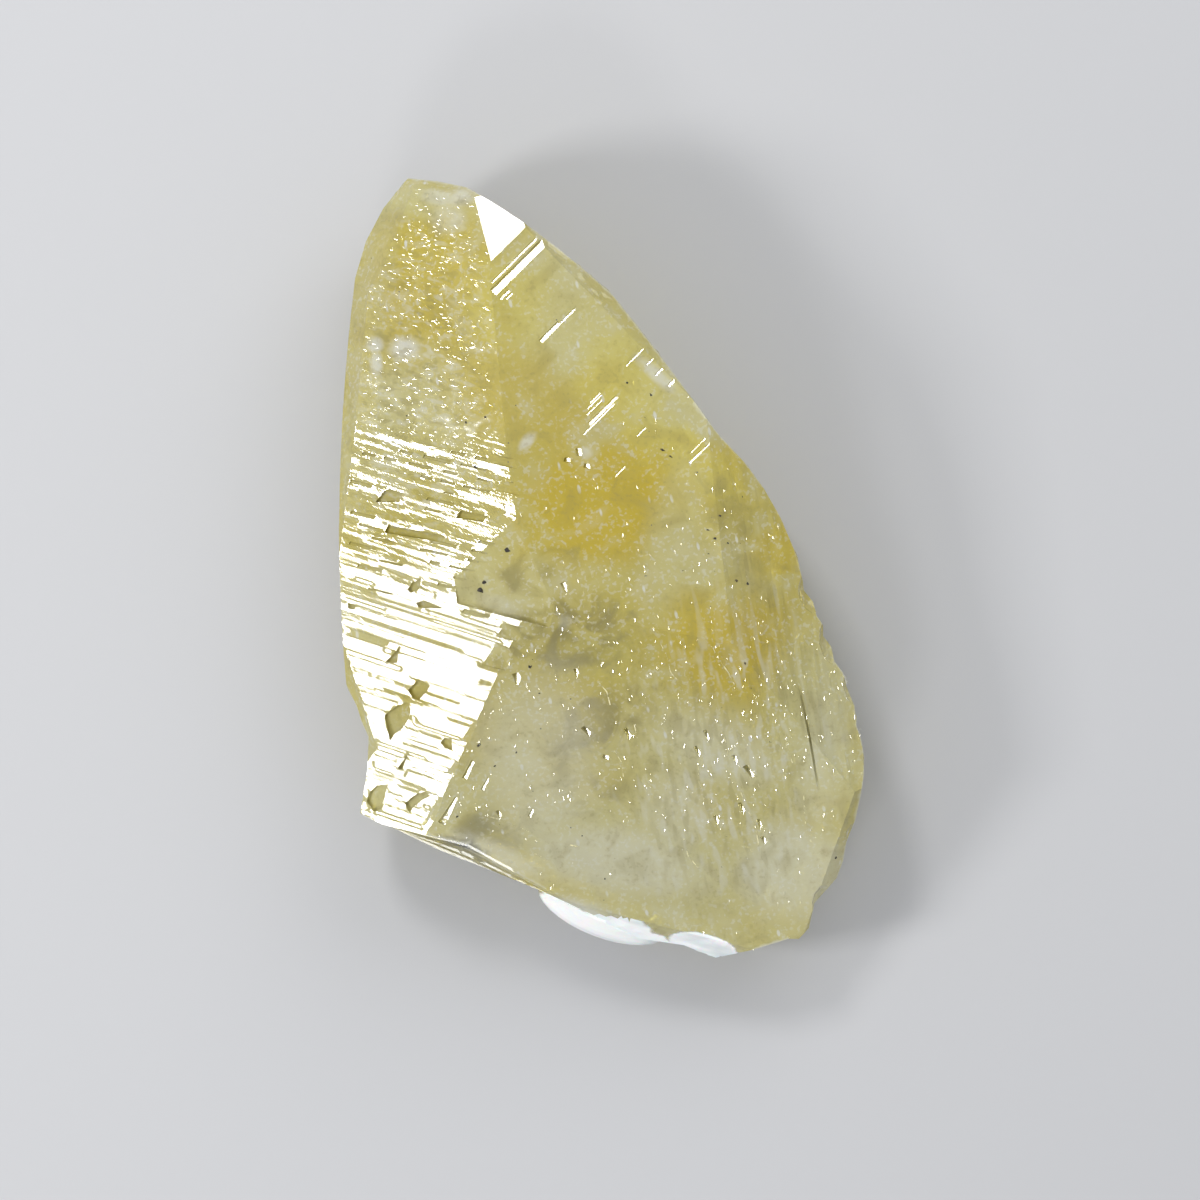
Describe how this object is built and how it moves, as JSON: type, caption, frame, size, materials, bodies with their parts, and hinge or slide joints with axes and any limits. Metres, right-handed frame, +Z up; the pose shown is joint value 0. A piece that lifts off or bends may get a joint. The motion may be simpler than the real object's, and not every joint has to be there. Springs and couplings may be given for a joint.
{
  "type": "calcite specimen",
  "caption": "Single honey-coloured calcite crystal with a stepped growth face, a scalloped rim and a flat back that it lies on.",
  "frame": {"origin": "under the middle of the crystal's box, on the surface that it lies on", "axes": "+Y along the crystal towards its point, +Z up from the flat back to the front faces, +X across it towards the scalloped rim"},
  "size_m": [0.0484, 0.072, 0.02],
  "materials": {
    "honey_calcite": "clear to cloudy honey calcite with a vitreous lustre"
  },
  "bodies": {
    "root": {"calcite_crystal": "honey_calcite"}
  },
  "joints": []
}
